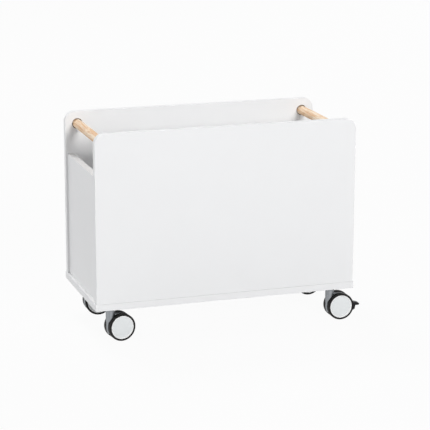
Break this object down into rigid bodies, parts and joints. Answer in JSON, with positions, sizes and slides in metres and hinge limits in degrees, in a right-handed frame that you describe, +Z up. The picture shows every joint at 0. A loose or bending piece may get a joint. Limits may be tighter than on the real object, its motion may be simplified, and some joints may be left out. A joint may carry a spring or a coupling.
{
  "type": "wheeled toy chest",
  "caption": "Open-topped white board toy chest with lower end panels, round wooden handles between its long panels, and twin-wheel swivel castors, some braked.",
  "frame": {"origin": "on the floor, at the middle of the whole footprint as it stands at rest, brake pedal included; the case's own middle is 17.7 mm towards -X from it", "axes": "+X along the length to the right, the way the castors trail at rest (the front left one is turned 8 degrees from it); +Y from the front panel to the back panel; +Z up"},
  "size_m": [0.7604, 0.337, 0.5685],
  "materials": {
    "white_board": "white lacquered fibreboard, satin",
    "beech": "clear-finished beech, satin",
    "dark_tread": "soft dark tread, matt",
    "pale_grey_cap": "pale grey moulded nylon, semi-gloss",
    "silver_casting": "satin silver die casting",
    "plated_steel": "bright zinc plated",
    "zinc_fitting": "raw zinc casting",
    "black_nylon": "black moulded nylon"
  },
  "bodies": {
    "chest": {"base_panel": "white_board", "front_panel": "white_board", "back_panel": "white_board", "left_end_panel": "white_board", "right_end_panel": "white_board", "left_handle_rod": "beech", "right_handle_rod": "beech", "left_front_cam": "zinc_fitting", "left_back_cam": "zinc_fitting", "right_front_cam": "zinc_fitting", "right_back_cam": "zinc_fitting", "left_front_cam_bolt": "plated_steel", "left_back_cam_bolt": "plated_steel", "right_front_cam_bolt": "plated_steel", "right_back_cam_bolt": "plated_steel", "front_left_base_screw": "plated_steel", "front_middle_base_screw": "plated_steel", "front_right_base_screw": "plated_steel", "back_left_base_screw": "plated_steel", "back_middle_base_screw": "plated_steel", "back_right_base_screw": "plated_steel", "left_end_base_screw": "plated_steel", "right_end_base_screw": "plated_steel", "front_left_castor_insert": "plated_steel", "front_left_castor_stem": "plated_steel", "front_right_castor_insert": "plated_steel", "front_right_castor_stem": "plated_steel", "back_left_castor_insert": "plated_steel", "back_left_castor_stem": "plated_steel", "back_right_castor_insert": "plated_steel", "back_right_castor_stem": "plated_steel"},
    "front_left_castor": {"front_left_castor_housing": "silver_casting", "front_left_castor_axle": "plated_steel"},
    "front_left_front_wheel": {"front_left_castor_front_tyre": "dark_tread", "front_left_castor_front_hub": "pale_grey_cap"},
    "front_left_back_wheel": {"front_left_castor_back_tyre": "dark_tread", "front_left_castor_back_hub": "pale_grey_cap"},
    "front_right_castor": {"front_right_castor_housing": "silver_casting", "front_right_castor_axle": "plated_steel", "front_right_brake_pin": "plated_steel"},
    "front_right_front_wheel": {"front_right_castor_front_tyre": "dark_tread", "front_right_castor_front_hub": "pale_grey_cap"},
    "front_right_back_wheel": {"front_right_castor_back_tyre": "dark_tread", "front_right_castor_back_hub": "pale_grey_cap"},
    "front_right_brake": {"front_right_brake_lever": "black_nylon"},
    "back_left_castor": {"back_left_castor_housing": "silver_casting", "back_left_castor_axle": "plated_steel", "back_left_brake_pin": "plated_steel"},
    "back_left_front_wheel": {"back_left_castor_front_tyre": "dark_tread", "back_left_castor_front_hub": "pale_grey_cap"},
    "back_left_back_wheel": {"back_left_castor_back_tyre": "dark_tread", "back_left_castor_back_hub": "pale_grey_cap"},
    "back_left_brake": {"back_left_brake_lever": "black_nylon"},
    "back_right_castor": {"back_right_castor_housing": "silver_casting", "back_right_castor_axle": "plated_steel"},
    "back_right_front_wheel": {"back_right_castor_front_tyre": "dark_tread", "back_right_castor_front_hub": "pale_grey_cap"},
    "back_right_back_wheel": {"back_right_castor_back_tyre": "dark_tread", "back_right_castor_back_hub": "pale_grey_cap"}
  },
  "joints": [
    {"name": "front_left_swivel", "type": "hinge", "parent": "chest", "child": "front_left_castor", "pos_m": [-0.3297, -0.1225, 0.0965], "axis": [0, 0, 1], "continuous": true},
    {"name": "front_left_front_wheel_spin", "type": "hinge", "parent": "front_left_castor", "child": "front_left_front_wheel", "pos_m": [-0.30296, -0.11874, 0.037], "axis": [-0.1392, 0.9903, 0], "continuous": true},
    {"name": "front_left_back_wheel_spin", "type": "hinge", "parent": "front_left_castor", "child": "front_left_back_wheel", "pos_m": [-0.30296, -0.11874, 0.037], "axis": [-0.1392, 0.9903, 0], "continuous": true},
    {"name": "front_right_swivel", "type": "hinge", "parent": "chest", "child": "front_right_castor", "pos_m": [0.2943, -0.1225, 0.0965], "axis": [0, 0, 1], "continuous": true},
    {"name": "front_right_front_wheel_spin", "type": "hinge", "parent": "front_right_castor", "child": "front_right_front_wheel", "pos_m": [0.3213, -0.1225, 0.037], "axis": [0, 1, 0], "continuous": true},
    {"name": "front_right_back_wheel_spin", "type": "hinge", "parent": "front_right_castor", "child": "front_right_back_wheel", "pos_m": [0.3213, -0.1225, 0.037], "axis": [0, 1, 0], "continuous": true},
    {"name": "front_right_brake_pedal", "type": "hinge", "parent": "front_right_castor", "child": "front_right_brake", "pos_m": [0.34774, -0.1225, 0.03515], "axis": [0, 1, 0], "range_deg": [0, 12]},
    {"name": "back_left_swivel", "type": "hinge", "parent": "chest", "child": "back_left_castor", "pos_m": [-0.3297, 0.1225, 0.0965], "axis": [0, 0, 1], "continuous": true},
    {"name": "back_left_front_wheel_spin", "type": "hinge", "parent": "back_left_castor", "child": "back_left_front_wheel", "pos_m": [-0.3027, 0.1225, 0.037], "axis": [0, 1, 0], "continuous": true},
    {"name": "back_left_back_wheel_spin", "type": "hinge", "parent": "back_left_castor", "child": "back_left_back_wheel", "pos_m": [-0.3027, 0.1225, 0.037], "axis": [0, 1, 0], "continuous": true},
    {"name": "back_left_brake_pedal", "type": "hinge", "parent": "back_left_castor", "child": "back_left_brake", "pos_m": [-0.27626, 0.1225, 0.03515], "axis": [0, 1, 0], "range_deg": [0, 12]},
    {"name": "back_right_swivel", "type": "hinge", "parent": "chest", "child": "back_right_castor", "pos_m": [0.2943, 0.1225, 0.0965], "axis": [0, 0, 1], "continuous": true},
    {"name": "back_right_front_wheel_spin", "type": "hinge", "parent": "back_right_castor", "child": "back_right_front_wheel", "pos_m": [0.3213, 0.1225, 0.037], "axis": [0, 1, 0], "continuous": true},
    {"name": "back_right_back_wheel_spin", "type": "hinge", "parent": "back_right_castor", "child": "back_right_back_wheel", "pos_m": [0.3213, 0.1225, 0.037], "axis": [0, 1, 0], "continuous": true}
  ]
}
